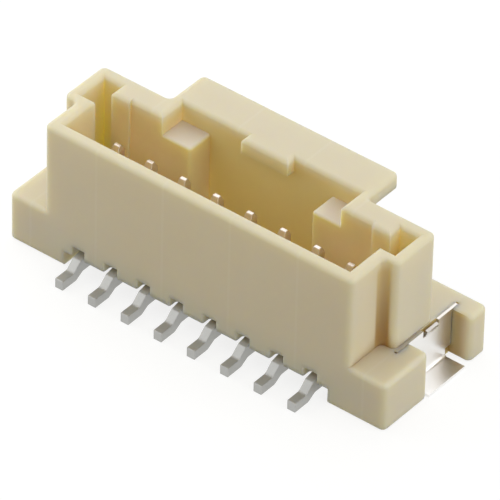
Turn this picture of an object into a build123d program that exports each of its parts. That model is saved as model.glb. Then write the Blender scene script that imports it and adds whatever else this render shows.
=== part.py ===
from build123d import *
import os

# Contacts: one straight row of square posts
positions = 8
pitch = 2.0
post_width = 0.46
post_thickness = 0.50
post_height = 6.1
post_tip_height = 0.3
post_tip_width = 0.33
post_tip_thickness = 0.18
row_depth = 2.82

# Solder lead of each contact, blanked with the post and stepped down to the board
lead_reach = 1.49
foot_length = 1.0
foot_top_length = 0.85
foot_thickness = 0.52
lead_step_length = 0.5
lead_slope_length = 0.48
root_bottom = 0.29
crest_height = 0.97
root_top = 1.08
root_top_depth = 0.35
lead_round = 0.25
crest_round = 0.08

# Shroud, measured back from its front face and outward from the last post
height = 7.9
front_wall = 0.69
end_wall = 0.67
rear_end_wall = 0.58
cavity_depth = 3.39
rear_slot_depth = 0.63
rear_wall = 0.65
end_margin = 2.17
end_step = 0.78
end_step_depth = 2.4
end_step_wall = 0.55
cavity_floor = 2.2
underside = 0.88

# Guide ribs on the rear wall, and the latch chamber let into its middle
rib_inner_margin = 0.25
rib_outer_margin = 1.32
rib_depth = 0.12
chamber_length = 10.66
chamber_reach = 1.52
chamber_wall = 0.55
ledge_gap = 7.26
ledge_height = 6.74

# Lip over the back of the chamber, with a catch on its inner edge
lip_thickness = 0.78
catch_length = 2.8
catch_depth = 0.5
catch_height = 0.84

# Base flanges at both ends
flange_reach = 4.3
flange_height = 2.74
flange_depth = 7.84
foot_margin = 0.97
front_tab_depth = 3.32
rear_tab_depth = 1.28

# Slots under the front wall that let the leads out, each wider to the left at its mouth
lead_slot_clearance = 0.04
lead_slot_top = 1.44
mouth_width = 0.75
mouth_depth = 0.45
mouth_taper = 0.2
mouth_round = 0.1

# Fitting nails, pressed from thin sheet
nail_sheet = 0.15
nail_offset = 0.07
nail_bend_radius = 0.15
nail_front_grip = 0.95
nail_rear_grip = 0.45
nail_grip_bottom = 0.6
nail_foot_front_clearance = 0.05
nail_foot_rear_clearance = 0.42
nail_foot_overhang = 0.05
nail_end_clearance = 0.1
tongue_width = 0.85
tongue_height = 0.4
tongue_slit = 0.16
tongue_lean = 21.0

# Moulded edge rounds
corner_round = 0.3
edge_round = 0.2
flange_foot_round = 0.18
mouth_edge_round = 0.26
ledge_round = 0.16

# Coordinates closer than this are taken as one
same_place = 1e-4

# Places worked out from the sizes above
row_half = (positions - 1) * pitch / 2
front_y = (lead_reach - flange_depth) / 2
back_y = front_y + flange_depth
row_y = front_y + row_depth
wall_y = front_y + front_wall + cavity_depth
slot_y = wall_y + rear_slot_depth
shroud_y = slot_y + rear_wall
chamber_y = wall_y + chamber_reach
bulge_y = chamber_y + chamber_wall
recess_y1 = front_y + front_tab_depth
recess_y2 = back_y - rear_tab_depth
narrow_x = row_half + end_margin
wide_x = narrow_x + end_step
flange_x = row_half + flange_reach
foot_inner_x = row_half + foot_margin
rib_x = row_half + rib_outer_margin
chamber_x = chamber_length / 2
lip_x = chamber_x + chamber_wall
nail_x = wide_x + nail_offset


def at_depth(depth):
    """Y of a plane that lies this far behind the front face."""
    return front_y + depth


def near(a, b):
    """Whether two coordinates are the same place."""
    return abs(a - b) < same_place


def mirrored(half):
    """Closed outline from the right half, listed from the front to the back."""
    return half + [(-x, y) for x, y in reversed(half)]


def prism(points, bottom, top, radius):
    """Upright solid on a plan outline with rounded corners."""
    face = make_face(Polyline(*points, close=True))
    face = fillet(face.vertices(), radius)
    return extrude(Pos(0, 0, bottom) * face, top - bottom)


def box_between(x1, x2, y1, y2, z1, z2):
    """Plain block given by its limits."""
    block = Box(x2 - x1, y2 - y1, z2 - z1)
    return Pos((x1 + x2) / 2, (y1 + y2) / 2, (z1 + z2) / 2) * block


def level_edges(solid, z):
    """Edges that lie in the horizontal plane at z."""
    return [e for e in solid.edges()
            if near(e.bounding_box().min.Z, z) and near(e.bounding_box().max.Z, z)]


def outer_edges(block, z):
    """Edges of a flange at this height, without those on its inner side and behind the nail."""
    return [e for e in level_edges(block, z)
            if not near(abs(e.center().X), nail_x)
            and not near(abs(e.center().X), foot_inner_x)]


def shroud_blank():
    """Outer form of the shroud with the chamber bulge and the lip above it."""
    ends = [
        (narrow_x, front_y),
        (narrow_x, at_depth(end_step_depth)),
        (wide_x, at_depth(end_step_depth)),
        (wide_x, shroud_y),
    ]
    bulge = [(lip_x, shroud_y), (lip_x, bulge_y)]
    lip = [(lip_x, shroud_y), (lip_x, back_y)]
    lip_bottom = height - lip_thickness
    walls = prism(mirrored(ends + bulge), underside, lip_bottom, corner_round)
    rim = prism(mirrored(ends + lip), lip_bottom, height, corner_round)
    rim = fillet(level_edges(rim, height), edge_round)
    return walls + rim


def flange(side):
    """Base block at one end, with the open recess that shows the nail."""
    plan = [
        (side * foot_inner_x, front_y),
        (side * flange_x, front_y),
        (side * flange_x, recess_y1),
        (side * nail_x, recess_y1),
        (side * nail_x, recess_y2),
        (side * flange_x, recess_y2),
        (side * flange_x, back_y),
        (side * foot_inner_x, back_y),
    ]
    face = make_face(Polyline(*plan, close=True))
    outer = [v for v in face.vertices() if near(abs(v.X), flange_x)]
    face = fillet(outer, corner_round)
    block = extrude(face, flange_height)
    block = fillet(outer_edges(block, flange_height), edge_round)
    return fillet(outer_edges(block, 0), flange_foot_round)


def nail_slots(side):
    """Blind slots in the flange that hold both edges of the nail."""
    inner = side * nail_x
    outer = side * (nail_x + nail_sheet)
    x1, x2 = min(inner, outer), max(inner, outer)
    y1 = recess_y1 - nail_front_grip - nail_end_clearance
    y2 = recess_y2 + nail_rear_grip + nail_end_clearance
    front = box_between(x1, x2, y1, recess_y1, nail_grip_bottom, height)
    rear = box_between(x1, x2, recess_y2, y2, nail_grip_bottom, height)
    return front + rear


def ledge(side):
    """Lower shelf beside the chamber mouth, standing on the cavity floor."""
    inner = side * ledge_gap / 2
    outer = side * (chamber_x + chamber_wall / 2)
    x1, x2 = min(inner, outer), max(inner, outer)
    y2 = chamber_y + chamber_wall / 2
    block = box_between(x1, x2, wall_y, y2, cavity_floor, ledge_height)
    corner = [e for e in block.edges().filter_by(Axis.Z)
              if near(e.center().X, inner) and near(e.center().Y, wall_y)]
    block = fillet(corner, ledge_round)
    return fillet(level_edges(block, ledge_height), ledge_round)


def catch():
    """Latch catch that stands forward from the lip, flush with its top."""
    y1 = chamber_y - catch_depth
    y2 = chamber_y + chamber_wall / 2
    half = catch_length / 2
    return box_between(-half, half, y1, y2, height - catch_height, height)


def cavity():
    """Space inside the shroud, open at the top."""
    inner_step = at_depth(end_step_depth + end_step_wall)
    half = [
        (narrow_x - end_wall, at_depth(front_wall)),
        (narrow_x - end_wall, inner_step),
        (wide_x - rear_end_wall, inner_step),
        (wide_x - rear_end_wall, slot_y),
        (rib_x, slot_y),
        (rib_x, wall_y),
        (chamber_x, wall_y),
        (chamber_x, chamber_y),
    ]
    face = make_face(Polyline(*mirrored(half), close=True))
    return extrude(Pos(0, 0, cavity_floor) * face, height - cavity_floor)


def rib(side):
    """Guide rib at the edge of the rear slot, rounded at the top like the rim behind it."""
    inner = side * (row_half + rib_inner_margin)
    outer = side * rib_x
    x1, x2 = min(inner, outer), max(inner, outer)
    y1 = wall_y - rib_depth
    block = box_between(x1, x2, y1, wall_y + mouth_edge_round, cavity_floor, height)
    rounded = [e for e in level_edges(block, height)
               if near(e.center().X, outer) or near(e.center().Y, y1)]
    return fillet(rounded, mouth_edge_round)


def post_xs():
    """X of every post in the row."""
    return [-row_half + i * pitch for i in range(positions)]


def mouth_edges(body):
    """Upright edges of the front face at both sides of every lead slot."""
    return [e for e in body.edges().filter_by(Axis.Z)
            if near(e.center().Y, front_y) and near(e.bounding_box().max.Z, lead_slot_top)]


def lead_slot(x):
    """Slot under the floor for one lead, open below and in front."""
    half = post_width / 2 + lead_slot_clearance
    end = row_y + post_thickness / 2 + lead_slot_clearance
    plan = [
        (half, front_y - lead_reach),
        (half, end),
        (-half, end),
        (-half, at_depth(mouth_depth + mouth_taper)),
        (half - mouth_width, at_depth(mouth_depth)),
        (half - mouth_width, front_y - lead_reach),
    ]
    face = make_face(Polyline(*plan, close=True))
    return extrude(Pos(x, 0, 0) * face, lead_slot_top)


def post_hole(x):
    """Square hole in the floor that grips one post."""
    half = post_width / 2
    y1 = row_y - post_thickness / 2
    y2 = row_y + post_thickness / 2
    return box_between(x - half, x + half, y1, y2, lead_slot_top, cavity_floor)


def housing():
    """One-piece moulded body."""
    body = shroud_blank()
    for side in (-1, 1):
        body += flange(side)
        body -= nail_slots(side)
    body -= cavity() - catch() - ledge(-1) - ledge(1)
    top = body.faces().sort_by(Axis.Z)[-1]
    body = fillet(top.inner_wires().edges(), mouth_edge_round)
    body += rib(-1)
    body += rib(1)
    for x in post_xs():
        body -= lead_slot(x)
        body -= post_hole(x)
    return fillet(mouth_edges(body), mouth_round)


def terminal(x):
    """Post with a tapered tip and a solder lead, blanked from one sheet."""
    foot_end = front_y - lead_reach
    step_start = foot_end + foot_length
    step_end = step_start + lead_step_length
    slope_start = foot_end + foot_top_length
    crest_y = slope_start + lead_slope_length
    back = row_y + post_thickness / 2
    front = row_y - post_thickness / 2
    shoulder_z = post_height - post_tip_height
    side_view = Polyline(
        (foot_end, 0),
        (step_start, 0),
        (step_end, root_bottom),
        (back, root_bottom),
        (back, shoulder_z),
        (front, shoulder_z),
        (front, root_top),
        (at_depth(root_top_depth), root_top),
        (crest_y, crest_height),
        (slope_start, foot_thickness),
        (foot_end, foot_thickness),
        close=True,
    )
    face = make_face(Plane.YZ * side_view)
    crest = [v for v in face.vertices() if near(v.Y, crest_y)]
    face = fillet(crest, crest_round)
    ends = [step_start, step_end, slope_start, at_depth(root_top_depth)]
    bends = [v for v in face.vertices() if any(near(v.Y, y) for y in ends)]
    face = fillet(bends, lead_round)
    blank = extrude(Pos(x - post_width / 2, 0, 0) * face, post_width, dir=(1, 0, 0))
    tip_base = Pos(x, row_y, shoulder_z) * Rectangle(post_width, post_thickness)
    tip_end = Pos(x, row_y, post_height) * Rectangle(post_tip_width, post_tip_thickness)
    return blank + loft([tip_base, tip_end])


def right_nail():
    """Nail of the right flange: gripped plate, solder foot and sprung tongue."""
    middle = (recess_y1 + recess_y2) / 2
    foot_start_y = recess_y1 + nail_foot_front_clearance
    foot_end_y = recess_y2 - nail_foot_rear_clearance
    foot_y = (foot_start_y + foot_end_y) / 2
    middle_x = nail_x + nail_sheet / 2
    outer_x = nail_x + nail_sheet
    foot_end = flange_x + nail_foot_overhang
    route = FilletPolyline(
        (middle_x, foot_y, flange_height),
        (middle_x, foot_y, nail_sheet / 2),
        (foot_end, foot_y, nail_sheet / 2),
        radius=nail_bend_radius + nail_sheet / 2,
    )
    start = Plane(route @ 0, x_dir=(0, 1, 0), z_dir=route % 0)
    bent = sweep(start * Rectangle(foot_end_y - foot_start_y, nail_sheet), path=route)
    plate = box_between(nail_x, outer_x, recess_y1 - nail_front_grip, recess_y2 + nail_rear_grip,
                        nail_grip_bottom, flange_height)
    root_z = flange_height - tongue_height
    cut_half = tongue_width / 2 + tongue_slit
    gap = box_between(nail_x, outer_x, middle - cut_half, middle + cut_half, root_z, flange_height)
    blade = box_between(0, nail_sheet, -tongue_width / 2, tongue_width / 2, 0, tongue_height)
    tongue = Pos(nail_x, middle, root_z) * Rot(0, tongue_lean, 0) * blade
    return bent + plate - gap + tongue


def main():
    os.makedirs("parts", exist_ok=True)
    export_step(housing(), "parts/housing.step")
    for number, x in enumerate(post_xs(), start=1):
        export_step(terminal(x), f"parts/terminal_{number}.step")
    nail = right_nail()
    export_step(nail, "parts/fitting_nail_right.step")
    export_step(mirror(nail, about=Plane.YZ), "parts/fitting_nail_left.step")


main()
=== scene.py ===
import math

import bpy
from mathutils import Matrix, Vector

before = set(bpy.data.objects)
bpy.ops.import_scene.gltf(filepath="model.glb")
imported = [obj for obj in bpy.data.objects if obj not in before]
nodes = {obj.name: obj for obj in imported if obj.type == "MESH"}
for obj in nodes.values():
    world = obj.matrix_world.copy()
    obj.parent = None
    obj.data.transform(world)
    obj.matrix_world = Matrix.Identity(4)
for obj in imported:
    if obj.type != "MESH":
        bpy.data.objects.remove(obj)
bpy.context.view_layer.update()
mm = 0.001
print("loaded", len(nodes), "pieces")


# small helpers for node trees

def newMaterial(name):
    material = bpy.data.materials.new(name)
    material.use_nodes = True
    tree = material.node_tree
    tree.nodes.clear()
    output = tree.nodes.new("ShaderNodeOutputMaterial")
    surface = tree.nodes.new("ShaderNodeBsdfPrincipled")
    tree.links.new(surface.outputs["BSDF"], output.inputs["Surface"])
    return material, tree, surface


def addNode(tree, kind, settings=None, **inputs):
    # inputs are given by socket name with spaces left out, as a value or another socket
    node = tree.nodes.new(kind)
    for key, value in (settings or {}).items():
        setattr(node, key, value)
    for key, value in inputs.items():
        plug(tree, node, key, value)
    return node


def plug(tree, node, key, value):
    socket = next(s for s in node.inputs if s.enabled and s.name.replace(" ", "").lower() == key.lower())
    if isinstance(value, bpy.types.NodeSocket):
        tree.links.new(value, socket)
    else:
        socket.default_value = value


def mathNode(tree, operation, a, b=None, c=None):
    node = tree.nodes.new("ShaderNodeMath")
    node.operation = operation
    for socket, value in zip(node.inputs, (a, b, c)):
        if isinstance(value, bpy.types.NodeSocket):
            tree.links.new(value, socket)
        elif value is not None:
            socket.default_value = value
    return node.outputs[0]


def mixColor(tree, factor, a, b):
    node = tree.nodes.new("ShaderNodeMix")
    node.data_type = "RGBA"
    for name, value in (("Factor", factor), ("A", a), ("B", b)):
        socket = next(s for s in node.inputs if s.enabled and s.name == name)
        if isinstance(value, bpy.types.NodeSocket):
            tree.links.new(value, socket)
        else:
            socket.default_value = value
    return next(s for s in node.outputs if s.enabled)


def mixVector(tree, factor, a, b):
    node = tree.nodes.new("ShaderNodeMix")
    node.data_type = "VECTOR"
    for name, value in (("Factor", factor), ("A", a), ("B", b)):
        tree.links.new(value, next(s for s in node.inputs if s.enabled and s.name == name))
    return next(s for s in node.outputs if s.enabled)


def ramp(tree, value, low, high):
    node = addNode(tree, "ShaderNodeMapRange", {"interpolation_type": "SMOOTHSTEP"}, Value=value)
    node.inputs["From Min"].default_value = low
    node.inputs["From Max"].default_value = high
    return node.outputs["Result"]


def newGroup(name, inputs, outputs):
    group = bpy.data.node_groups.new(name, "ShaderNodeTree")
    for label, kind, value in inputs:
        socket = group.interface.new_socket(name=label, in_out="INPUT", socket_type=kind)
        if value is not None:
            socket.default_value = value
    for label, kind in outputs:
        group.interface.new_socket(name=label, in_out="OUTPUT", socket_type=kind)
    return group, group.nodes.new("NodeGroupInput"), group.nodes.new("NodeGroupOutput")


def useGroup(tree, group, **inputs):
    node = tree.nodes.new("ShaderNodeGroup")
    node.node_tree = group
    for key, value in inputs.items():
        plug(tree, node, key, value)
    return node


# shared effect: soft clouds and a fine grain, both in millimetres

def makeSurfaceNoise():
    group, inside, out = newGroup(
        "surfaceNoise",
        [("Position", "NodeSocketVector", None), ("Cloud Size", "NodeSocketFloat", 2.0),
         ("Grain Size", "NodeSocketFloat", 0.08)],
        [("Cloud", "NodeSocketFloat"), ("Grain", "NodeSocketFloat")])
    cloudScale = mathNode(group, "DIVIDE", 1.0, inside.outputs["Cloud Size"])
    grainScale = mathNode(group, "DIVIDE", 1.0, inside.outputs["Grain Size"])
    cloud = addNode(group, "ShaderNodeTexNoise", Vector=inside.outputs["Position"], Scale=cloudScale,
                    Detail=3.0, Roughness=0.5)
    grain = addNode(group, "ShaderNodeTexNoise", Vector=inside.outputs["Position"], Scale=grainScale,
                    Detail=4.0, Roughness=0.6)
    group.links.new(cloud.outputs["Fac"], out.inputs["Cloud"])
    group.links.new(grain.outputs["Fac"], out.inputs["Grain"])
    return group


# shared effect: fine parallel lines left by rolling or shearing the sheet, running along one axis

def makeDrawLines():
    group, inside, out = newGroup(
        "drawLines",
        [("Position", "NodeSocketVector", None), ("Stretch", "NodeSocketVector", (1.0, 1.0, 1.0)),
         ("Line Size", "NodeSocketFloat", 0.04)],
        [("Lines", "NodeSocketFloat")])
    squeezed = addNode(group, "ShaderNodeVectorMath", {"operation": "MULTIPLY"})
    group.links.new(inside.outputs["Position"], squeezed.inputs[0])
    group.links.new(inside.outputs["Stretch"], squeezed.inputs[1])
    lineScale = mathNode(group, "DIVIDE", 1.0, inside.outputs["Line Size"])
    lines = addNode(group, "ShaderNodeTexNoise", Vector=squeezed.outputs[0], Scale=lineScale,
                    Detail=2.0, Roughness=0.5)
    group.links.new(lines.outputs["Fac"], out.inputs["Lines"])
    return group


surfaceNoise = makeSurfaceNoise()
drawLines = makeDrawLines()


def millimetres(tree):
    # object coordinates in millimetres, the same frame for every piece
    coordinates = tree.nodes.new("ShaderNodeTexCoord")
    mapping = tree.nodes.new("ShaderNodeMapping")
    mapping.inputs["Scale"].default_value = (1 / mm, 1 / mm, 1 / mm)
    tree.links.new(coordinates.outputs["Object"], mapping.inputs["Vector"])
    return mapping.outputs["Vector"]


# housing: natural ivory moulding, with painted light inside, a golden tone and glow standing in for light
# that passes through its thin walls, and painted shade in its outer corners, the step and the nail recesses
# lengths are in millimetres, and places are in the frame of the part

housingLook = {
    "ivory": (0.75, 0.68, 0.505, 1),
    "cloudTint": (0.73, 0.655, 0.47, 1),
    "cloudSize": 2.5,
    "insideBoxes": ((8.8, -2.8, 1.85), (9.6, -0.5, 1.85), (5.6, -0.5, 2.7)),  # half length, front, back
    "insideFloor": 2.1,
    # painted light: golden inner tone, paler on the end walls, for light through the thin walls and bounced
    # inside
    "gold": (0.78, 0.64, 0.27, 1),
    "goldStart": 7.8,
    "goldFull": 7.15,
    "goldAmount": 0.85,
    "endWallPale": 0.55,
    "endWallStart": 6.0,
    "endWallFull": 8.0,
    # painted glow: brighter gold in the tight slots
    "glow": (1.0, 0.80, 0.47, 1),
    # painted light: lighter tone on upward faces inside
    "shelf": (0.78, 0.69, 0.56, 1),
    "shelfStart": 7.5,
    "shelfFull": 7.1,
    "glowReach": 5.0,
    "glowStart": 0.55,
    "glowFull": 0.76,
    # painted shade: browner inner corners outside
    "cornerBrown": (0.46, 0.32, 0.11, 1),
    "cornerReach": 1.3,
    "cornerStart": 0.18,
    "cornerFull": 0.70,
    "cornerOnTops": 0.35,
    "cornerLowest": 1.5,
    "cornerFade": 0.4,
    "cornerSharp": (0.02, 0.2),  # how closed a corner is where its edges stop being softened
    "stepCorner": (9.17, -0.775),  # plan place of the step between the two shroud widths
    "stepReach": (0.42, 0.50),
    "stepFade": (1.15, 0.75),
    "stepTop": 7.65,
    "stepTopFade": 0.6,
    "stepDeep": 2.7,
    # painted shade: gold and brown in the step
    "stepGold": (0.69, 0.58, 0.28, 1),
    "stepBrown": (0.46, 0.28, 0.09, 1),
    # painted shade: darker nail recesses
    "recessBox": (10.7, 0.7, 0.095, 3.435),  # middle from the centre, half length, front, back
    "recessOpen": 11.3,
    "recessDark": 10.5,
    "recessAmount": 0.95,
    "softEdge": 0.35,
    "roughness": 0.42,
    "roughnessSpread": 0.08,
    "grainSize": 0.06,
    "grainHeight": 0.0015,
    "scatterWeight": 1.0,
    "scatterRadius": (1.0, 0.85, 0.45),
    "scatterScale": 1.3,
    "insertSpacing": 4.0,
    "insertOffset": 2.0,
    "insertLineWidth": 0.07,
    "insertLineTone": 0.05,
    "insertLine": (1, 1, 1, 1),
}


def withinPlan(tree, x, y, middle, half, front, back):
    # 1 inside an upright box given by its plan
    across = mathNode(tree, "COMPARE", x, middle, half)
    along = mathNode(tree, "COMPARE", y, (front + back) / 2, (back - front) / 2)
    return mathNode(tree, "MULTIPLY", across, along)


def makeHollows(look):
    group, inside, out = newGroup(
        "hollows",
        [("Position", "NodeSocketVector", None)],
        [(label, "NodeSocketFloat")
         for label in ("Inside", "Gold", "Shelf", "Recess", "Step", "Deep", "Upright")])
    split = addNode(group, "ShaderNodeSeparateXYZ", Vector=inside.outputs["Position"])
    x = mathNode(group, "ABSOLUTE", split.outputs["X"])
    y, z = split.outputs["Y"], split.outputs["Z"]
    within = None
    for half, front, back in look["insideBoxes"]:
        box = withinPlan(group, x, y, 0.0, half, front, back)
        within = box if within is None else mathNode(group, "MAXIMUM", within, box)
    aboveFloor = mathNode(group, "GREATER_THAN", z, look["insideFloor"])
    within = mathNode(group, "MULTIPLY", within, aboveFloor)
    normal = addNode(group, "ShaderNodeNewGeometry")
    slope = addNode(group, "ShaderNodeSeparateXYZ", Vector=normal.outputs["Normal"])
    steep = mathNode(group, "MULTIPLY", slope.outputs["Z"], slope.outputs["Z"])
    upright = mathNode(group, "SUBTRACT", 1.0, steep)
    # painted light mask: golden inside the shroud below the rim, on upright faces, paler on the end walls
    gold = mathNode(group, "MULTIPLY", within, ramp(group, z, look["goldStart"], look["goldFull"]))
    gold = mathNode(group, "MULTIPLY", gold, upright)
    endWall = mathNode(group, "MULTIPLY", slope.outputs["X"], slope.outputs["X"])
    endWall = mathNode(group, "MULTIPLY", endWall, ramp(group, x, look["endWallStart"], look["endWallFull"]))
    endWall = mathNode(group, "MULTIPLY_ADD", endWall, -look["endWallPale"], 1.0)
    gold = mathNode(group, "MULTIPLY", gold, endWall)
    # painted light mask: upward faces inside, below the rim, are painted lighter
    shelf = mathNode(group, "MULTIPLY", within, ramp(group, z, look["shelfStart"], look["shelfFull"]))
    shelf = mathNode(group, "MULTIPLY", shelf, steep)
    group.links.new(shelf, out.inputs["Shelf"])
    # painted shade mask: the nail recesses, darker towards their inner end
    recessShade = withinPlan(group, x, y, *look["recessBox"])
    recessShade = mathNode(group, "MULTIPLY", recessShade, ramp(group, x, look["recessOpen"], look["recessDark"]))
    # painted shade mask: the step is painted darkest along its inner corner and towards the flange
    cornerX, cornerY = look["stepCorner"]
    reachX, reachY = look["stepReach"]
    stepX = mathNode(group, "DIVIDE", mathNode(group, "SUBTRACT", x, cornerX), reachX)
    stepY = mathNode(group, "DIVIDE", mathNode(group, "SUBTRACT", y, cornerY), reachY)
    fromStep = mathNode(group, "SQRT", mathNode(group, "MULTIPLY_ADD", stepX, stepX,
                                                mathNode(group, "MULTIPLY", stepY, stepY)))
    step = mathNode(group, "MULTIPLY", ramp(group, fromStep, *look["stepFade"]),
                    ramp(group, z, look["stepTop"], look["stepTop"] - look["stepTopFade"]))
    step = mathNode(group, "MULTIPLY", step, upright)
    deep = ramp(group, z, look["stepTop"], look["stepDeep"])
    group.links.new(step, out.inputs["Step"])
    group.links.new(deep, out.inputs["Deep"])
    group.links.new(within, out.inputs["Inside"])
    group.links.new(gold, out.inputs["Gold"])
    group.links.new(recessShade, out.inputs["Recess"])
    group.links.new(upright, out.inputs["Upright"])
    return group


def makeIvoryPlastic(look):
    material, tree, surface = newMaterial("ivoryPlastic")
    position = millimetres(tree)
    noise = useGroup(tree, surfaceNoise, Position=position, CloudSize=look["cloudSize"],
                     GrainSize=look["grainSize"])
    hollows = useGroup(tree, makeHollows(look), Position=position)
    color = mixColor(tree, noise.outputs["Cloud"], look["ivory"], look["cloudTint"])

    # joints of the mould inserts: one faint line every second post on the front and back faces
    split = addNode(tree, "ShaderNodeSeparateXYZ", Vector=position)
    shifted = mathNode(tree, "ADD", split.outputs["X"], look["insertOffset"])
    toLine = mathNode(tree, "PINGPONG", shifted, look["insertSpacing"] / 2)
    line = mathNode(tree, "LESS_THAN", toLine, look["insertLineWidth"])
    lineTone = mathNode(tree, "MULTIPLY", line, look["insertLineTone"])
    color = mixColor(tree, lineTone, color, look["insertLine"])

    # painted light: inner walls are painted golden, and painted brightest in the tight slots, standing in
    # for light that their thin walls let through
    gold = mathNode(tree, "MULTIPLY", hollows.outputs["Gold"], look["goldAmount"])
    color = mixColor(tree, gold, color, look["gold"])
    # painted light: upward faces inside are painted lighter
    color = mixColor(tree, hollows.outputs["Shelf"], color, look["shelf"])
    # painted glow: inside, upright faces that are most closed in are painted a bright gold
    around = addNode(tree, "ShaderNodeAmbientOcclusion", {"samples": 12, "only_local": True},
                     Distance=look["glowReach"] * mm)
    closed = mathNode(tree, "SUBTRACT", 1.0, around.outputs["AO"])
    glow = mathNode(tree, "MULTIPLY", hollows.outputs["Inside"],
                    ramp(tree, closed, look["glowStart"], look["glowFull"]))
    glow = mathNode(tree, "MULTIPLY", glow, hollows.outputs["Upright"])
    color = mixColor(tree, glow, color, look["glow"])

    # painted shade: inner corners on the outside are painted browner, less so on the upper faces, and so are
    # the nail recesses
    near = addNode(tree, "ShaderNodeAmbientOcclusion", {"samples": 12, "only_local": True},
                   Distance=look["cornerReach"] * mm)
    closeBy = mathNode(tree, "SUBTRACT", 1.0, near.outputs["AO"])
    corner = ramp(tree, closeBy, look["cornerStart"], look["cornerFull"])
    outside = mathNode(tree, "SUBTRACT", 1.0, hollows.outputs["Inside"])
    outside = mathNode(tree, "MULTIPLY", outside,
                       ramp(tree, split.outputs["Z"], look["cornerLowest"],
                            look["cornerLowest"] + look["cornerFade"]))
    onWalls = mathNode(tree, "MULTIPLY_ADD", hollows.outputs["Upright"], 1.0 - look["cornerOnTops"],
                       look["cornerOnTops"])
    cornerShade = mathNode(tree, "MULTIPLY", mathNode(tree, "MULTIPLY", corner, outside), onWalls)
    recessShade = mathNode(tree, "MULTIPLY", hollows.outputs["Recess"], look["recessAmount"])
    color = mixColor(tree, mathNode(tree, "MAXIMUM", cornerShade, recessShade), color, look["cornerBrown"])
    # painted shade: the step between the two shroud widths is painted gold, and browner deeper down towards
    # the flange
    stepShadeColor = mixColor(tree, hollows.outputs["Deep"], look["stepGold"], look["stepBrown"])
    color = mixColor(tree, hollows.outputs["Step"], color, stepShadeColor)
    tree.links.new(color, surface.inputs["Base Color"])

    spread = mathNode(tree, "MULTIPLY_ADD", noise.outputs["Grain"], look["roughnessSpread"],
                      look["roughness"])
    tree.links.new(spread, surface.inputs["Roughness"])
    softEdge = addNode(tree, "ShaderNodeBevel", {"samples": 8}, Radius=look["softEdge"] * mm)
    plain = tree.nodes.new("ShaderNodeNewGeometry")
    sharp = mathNode(tree, "MAXIMUM", hollows.outputs["Inside"], ramp(tree, closeBy, *look["cornerSharp"]))
    edgeNormal = mixVector(tree, sharp, softEdge.outputs["Normal"], plain.outputs["Normal"])
    bump = addNode(tree, "ShaderNodeBump", Strength=1.0, Distance=look["grainHeight"] * mm,
                   Height=noise.outputs["Grain"], Normal=edgeNormal)
    tree.links.new(bump.outputs["Normal"], surface.inputs["Normal"])
    surface.inputs["Subsurface Weight"].default_value = look["scatterWeight"]
    surface.inputs["Subsurface Radius"].default_value = look["scatterRadius"]
    surface.inputs["Subsurface Scale"].default_value = look["scatterScale"] * mm
    surface.inputs["IOR"].default_value = 1.5
    return material


# contacts: tin plate over a blanked strip, with shear lines on the cut sides, and brighter on the posts

terminalLook = {
    "tin": (0.49, 0.49, 0.475, 1),
    "tinCloud": (0.45, 0.45, 0.43, 1),
    "cloudSize": 0.5,
    "grainSize": 0.05,
    "postTin": (0.77, 0.70, 0.65, 1),
    "postRoughness": 0.30,
    "postStart": 1.6,
    "postFull": 2.4,
    "roughness": 0.48,
    "roughnessSpread": 0.16,
    "lineSize": 0.05,
    "lineHeight": 0.003,
    "lineStrength": 0.6,
    "softEdge": 0.09,
}


def makeTinPlate(look):
    material, tree, surface = newMaterial("tinPlate")
    position = millimetres(tree)
    noise = useGroup(tree, surfaceNoise, Position=position, CloudSize=look["cloudSize"],
                     GrainSize=look["grainSize"])
    lines = useGroup(tree, drawLines, Position=position, Stretch=(1.0, 1.0, 0.08),
                     LineSize=look["lineSize"])
    color = mixColor(tree, noise.outputs["Cloud"], look["tin"], look["tinCloud"])
    split = addNode(tree, "ShaderNodeSeparateXYZ", Vector=position)
    post = ramp(tree, split.outputs["Z"], look["postStart"], look["postFull"])
    color = mixColor(tree, post, color, look["postTin"])
    tree.links.new(color, surface.inputs["Base Color"])
    surface.inputs["Metallic"].default_value = 1.0
    spread = mathNode(tree, "MULTIPLY_ADD", noise.outputs["Grain"], look["roughnessSpread"],
                      look["roughness"])
    smoother = mathNode(tree, "MULTIPLY", post, look["roughness"] - look["postRoughness"])
    tree.links.new(mathNode(tree, "SUBTRACT", spread, smoother), surface.inputs["Roughness"])
    softEdge = addNode(tree, "ShaderNodeBevel", {"samples": 8}, Radius=look["softEdge"] * mm)
    bump = addNode(tree, "ShaderNodeBump", Strength=look["lineStrength"], Distance=look["lineHeight"] * mm,
                   Height=lines.outputs["Lines"], Normal=softEdge.outputs["Normal"])
    tree.links.new(bump.outputs["Normal"], surface.inputs["Normal"])
    return material


# fitting nails: thin rolled sheet with bright tin, smoother than the contacts

nailLook = {
    "tin": (0.90, 0.895, 0.885, 1),
    "tinCloud": (0.86, 0.85, 0.835, 1),
    "cloudSize": 1.2,
    "shearedEdge": (0.60, 0.57, 0.53, 1),
    "edgeAbove": 1.0,
    "edgeSlope": 0.8,
    "roughness": 0.27,
    "roughnessSpread": 0.08,
    "lineSize": 0.05,
    "lineHeight": 0.0007,
    "lineStrength": 0.5,
}


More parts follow.
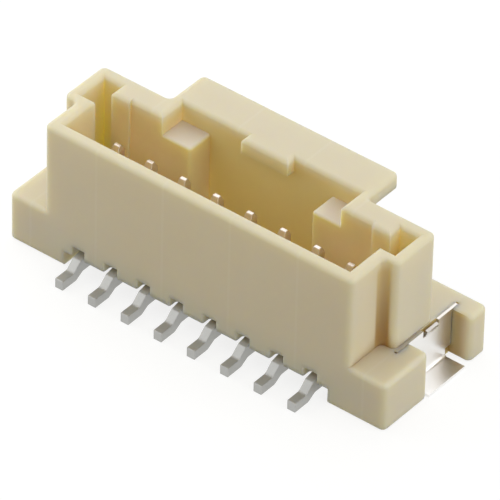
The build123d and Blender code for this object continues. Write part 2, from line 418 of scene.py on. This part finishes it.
def makeRolledTin(look):
    material, tree, surface = newMaterial("rolledTin")
    position = millimetres(tree)
    noise = useGroup(tree, surfaceNoise, Position=position, CloudSize=look["cloudSize"])
    lines = useGroup(tree, drawLines, Position=position, Stretch=(1.0, 0.05, 1.0),
                     LineSize=look["lineSize"])
    color = mixColor(tree, noise.outputs["Cloud"], look["tin"], look["tinCloud"])

    # the sheared top edges of the sheet are duller than its faces
    place = addNode(tree, "ShaderNodeSeparateXYZ", Vector=position)
    normal = tree.nodes.new("ShaderNodeNewGeometry")
    slope = addNode(tree, "ShaderNodeSeparateXYZ", Vector=normal.outputs["Normal"])
    edge = mathNode(tree, "MULTIPLY", mathNode(tree, "GREATER_THAN", slope.outputs["Z"], look["edgeSlope"]),
                    mathNode(tree, "GREATER_THAN", place.outputs["Z"], look["edgeAbove"]))
    color = mixColor(tree, edge, color, look["shearedEdge"])
    tree.links.new(color, surface.inputs["Base Color"])
    surface.inputs["Metallic"].default_value = 1.0
    spread = mathNode(tree, "MULTIPLY_ADD", lines.outputs["Lines"], look["roughnessSpread"],
                      look["roughness"])
    tree.links.new(spread, surface.inputs["Roughness"])
    bump = addNode(tree, "ShaderNodeBump", Strength=look["lineStrength"], Distance=look["lineHeight"] * mm,
                   Height=lines.outputs["Lines"])
    tree.links.new(bump.outputs["Normal"], surface.inputs["Normal"])
    return material


def dress(node, material):
    node.data.materials.clear()
    node.data.materials.append(material)


ivoryPlastic = makeIvoryPlastic(housingLook)
tinPlate = makeTinPlate(terminalLook)
rolledTin = makeRolledTin(nailLook)
for name, node in nodes.items():
    if name == "housing":
        dress(node, ivoryPlastic)
    elif name.startswith("terminal"):
        dress(node, tinPlate)
    else:
        dress(node, rolledTin)
print("materials made")


# floor and world: plain white to the eye, with a moderate level for the light they give back

stageLook = {
    "floorSize": 3.0,
    "floorColor": (0.25, 0.25, 0.24, 1),
    "floorBounce": (0.36, 0.36, 0.33, 1),
    "floorGlow": 0.80,
    "floorRoughness": 0.9,
    "floorSpecular": 0.1,
    "worldColor": (1.0, 1.0, 1.0, 1),
    "worldLevel": 0.53,
}


def seenDirectly(tree):
    # 1 for what the camera, a mirror or glass sees, 0 for light that the surface gives to others
    path = tree.nodes.new("ShaderNodeLightPath")
    seen = mathNode(tree, "MAXIMUM", path.outputs["Is Camera Ray"], path.outputs["Is Glossy Ray"])
    return mathNode(tree, "MAXIMUM", seen, path.outputs["Is Transmission Ray"])


def makeFloor(look):
    material, tree, surface = newMaterial("paleFloor")
    tree.links.new(mixColor(tree, seenDirectly(tree), look["floorBounce"], look["floorColor"]),
                   surface.inputs["Base Color"])
    surface.inputs["Roughness"].default_value = look["floorRoughness"]
    surface.inputs["Specular IOR Level"].default_value = look["floorSpecular"]
    surface.inputs["Emission Color"].default_value = (1, 1, 1, 1)
    glow = mathNode(tree, "MULTIPLY", seenDirectly(tree), look["floorGlow"])
    tree.links.new(glow, surface.inputs["Emission Strength"])
    bpy.ops.mesh.primitive_plane_add(size=look["floorSize"])
    floor = bpy.context.object
    floor.name = "floor"
    dress(floor, material)


def makeWorld(look):
    world = bpy.data.worlds.new("softWorld")
    bpy.context.scene.world = world
    world.use_nodes = True
    tree = world.node_tree
    background = tree.nodes["Background"]
    background.inputs["Color"].default_value = look["worldColor"]
    extra = mathNode(tree, "MULTIPLY", seenDirectly(tree), 1.0 - look["worldLevel"])
    level = mathNode(tree, "ADD", extra, look["worldLevel"])
    tree.links.new(level, background.inputs["Strength"])


makeFloor(stageLook)
makeWorld(stageLook)


# lamps: level is the brightness that a white card facing the lamp would have

lamps = {
    "keyBehind": {"azimuth": -140, "elevation": 52, "distance": 0.30, "size": 0.30, "level": 0.24},
    "rightFill": {"azimuth": 100, "elevation": 25, "distance": 0.30, "size": 0.30, "level": 0.42},
    "leftLow": {"azimuth": -75, "elevation": 14, "distance": 0.06, "size": 0.08, "level": 0.6},
}


def towards(azimuth, elevation):
    a, e = math.radians(azimuth), math.radians(elevation)
    return Vector((math.sin(a) * math.cos(e), -math.cos(a) * math.cos(e), math.sin(e)))


def makeLamp(name, look):
    light = bpy.data.lights.new(name, "AREA")
    light.size = look["size"]
    light.energy = look["level"] * math.pi ** 2 * look["distance"] ** 2
    lamp = bpy.data.objects.new(name, light)
    bpy.context.scene.collection.objects.link(lamp)
    direction = towards(look["azimuth"], look["elevation"])
    lamp.location = direction * look["distance"]
    lamp.rotation_euler = direction.to_track_quat("Z", "Y").to_euler()


for lampName, lampLook in lamps.items():
    makeLamp(lampName, lampLook)
print("stage and lamps set")


# camera: the photograph's view, from the front right and above, with its slight roll

cameraView = {
    "azimuth": 37.535,
    "elevation": 38.865,
    "roll": -1.484,
    "distance": 364.821,
    "target": (0.902, -0.175, 3.673),
    "fieldPixels": 500,
    "focalPixels": 7770.16,
}


def makeCamera(look):
    back = towards(look["azimuth"], look["elevation"])
    a = math.radians(look["azimuth"])
    right = Vector((math.cos(a), math.sin(a), 0))
    up = back.cross(right)
    roll = math.radians(look["roll"])
    turnedRight = right * math.cos(roll) - up * math.sin(roll)
    turnedUp = right * math.sin(roll) + up * math.cos(roll)
    data = bpy.data.cameras.new("photoCamera")
    data.sensor_width = 36.0
    data.lens = look["focalPixels"] / look["fieldPixels"] * data.sensor_width
    data.clip_start = 0.01
    data.clip_end = 10.0
    camera = bpy.data.objects.new("photoCamera", data)
    bpy.context.scene.collection.objects.link(camera)
    place = Matrix((turnedRight, turnedUp, back)).transposed().to_4x4()
    place.translation = (Vector(look["target"]) + back * look["distance"]) * mm
    camera.matrix_world = place
    bpy.context.scene.camera = camera


makeCamera(cameraView)
bpy.context.scene.view_settings.view_transform = "Standard"
print("camera set")
